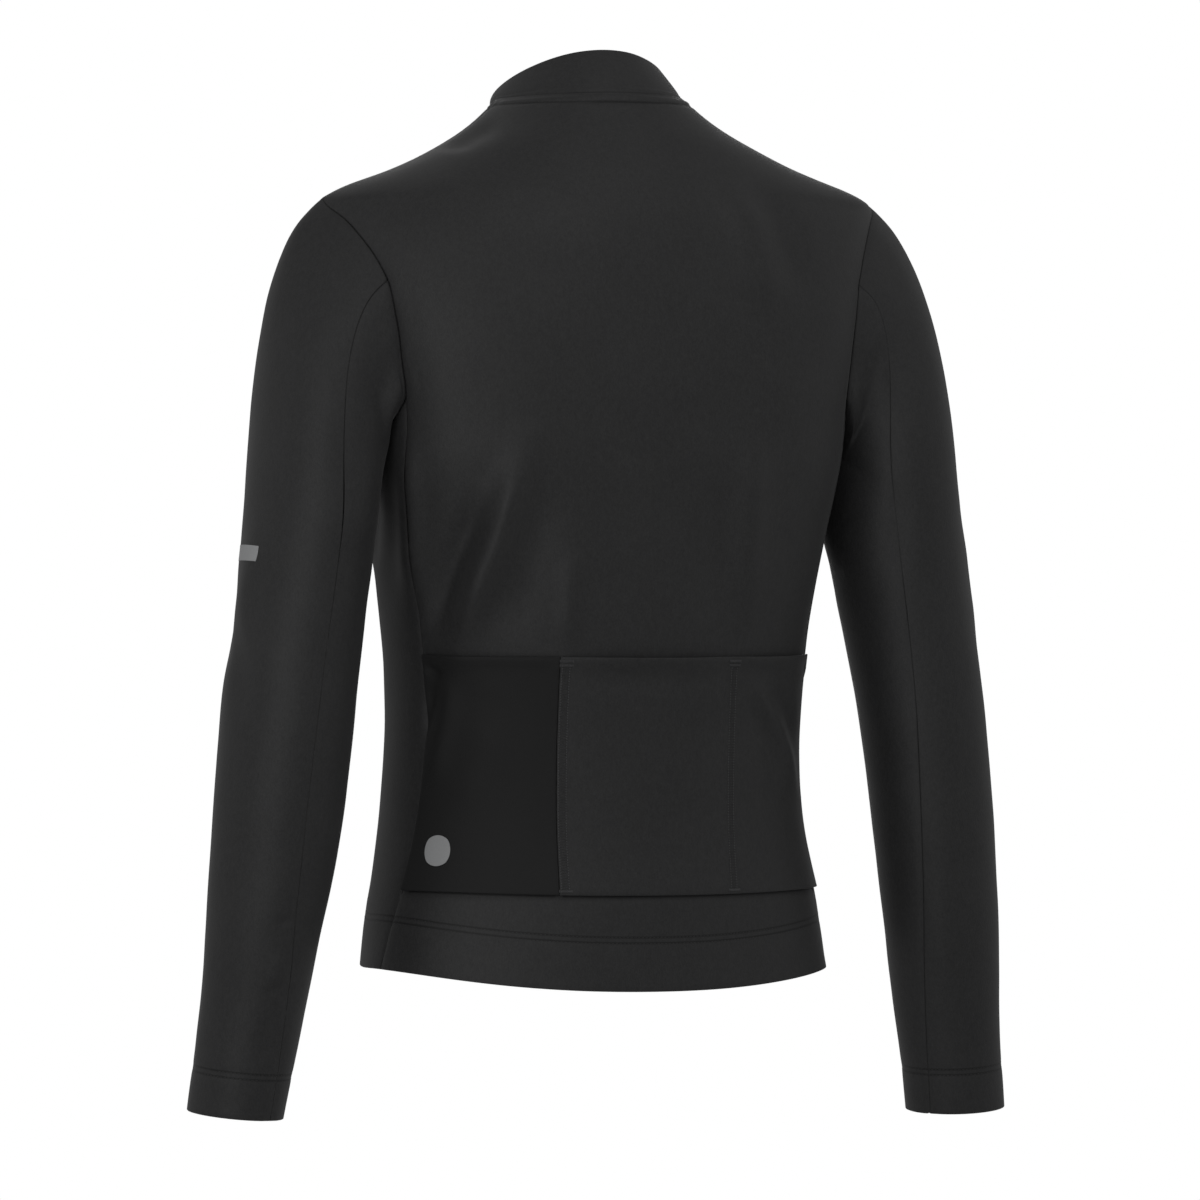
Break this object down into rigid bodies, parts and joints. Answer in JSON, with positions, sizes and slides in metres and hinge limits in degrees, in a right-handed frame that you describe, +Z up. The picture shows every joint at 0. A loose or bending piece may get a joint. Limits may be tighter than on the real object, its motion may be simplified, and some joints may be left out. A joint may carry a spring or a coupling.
{
  "type": "cycling jacket",
  "caption": "Close-fitting long-sleeved cycling jacket, filled out as worn, with a stand collar, a full front zip and open pockets across the lower back.",
  "frame": {"origin": "middle of the neck opening, level with the side neck points where the shoulder seams meet the collar", "axes": "+Z up, +Y out of the wearer's back, +X to the wearer's left"},
  "size_m": [0.6329, 0.2309, 0.7785],
  "materials": {
    "jersey": "matt brushed knit",
    "smooth": "smooth, slightly satin",
    "tape": "matt woven tape",
    "coil": "satin",
    "metal": "satin black"
  },
  "bodies": {
    "garment": {"back": "jersey", "collar": "jersey", "front_left": "jersey", "front_right": "jersey", "pocket_centre_right": "jersey", "pocket_left": "smooth", "sleeve_top_left": "jersey", "sleeve_top_right": "jersey", "sleeve_under_left": "jersey", "sleeve_under_right": "jersey", "zip_box": "coil", "zip_chain": "coil", "zip_slider": "metal", "zip_tape_left": "tape", "zip_tape_right": "tape"},
    "pull_tab": {"zip_pull": "metal"}
  },
  "joints": [
    {"name": "pull_tab_swing", "type": "hinge", "parent": "garment", "child": "pull_tab", "pos_m": [0, -0.10292, -0.0215], "axis": [-1, 0, 0], "range_deg": [-8, 165]}
  ]
}
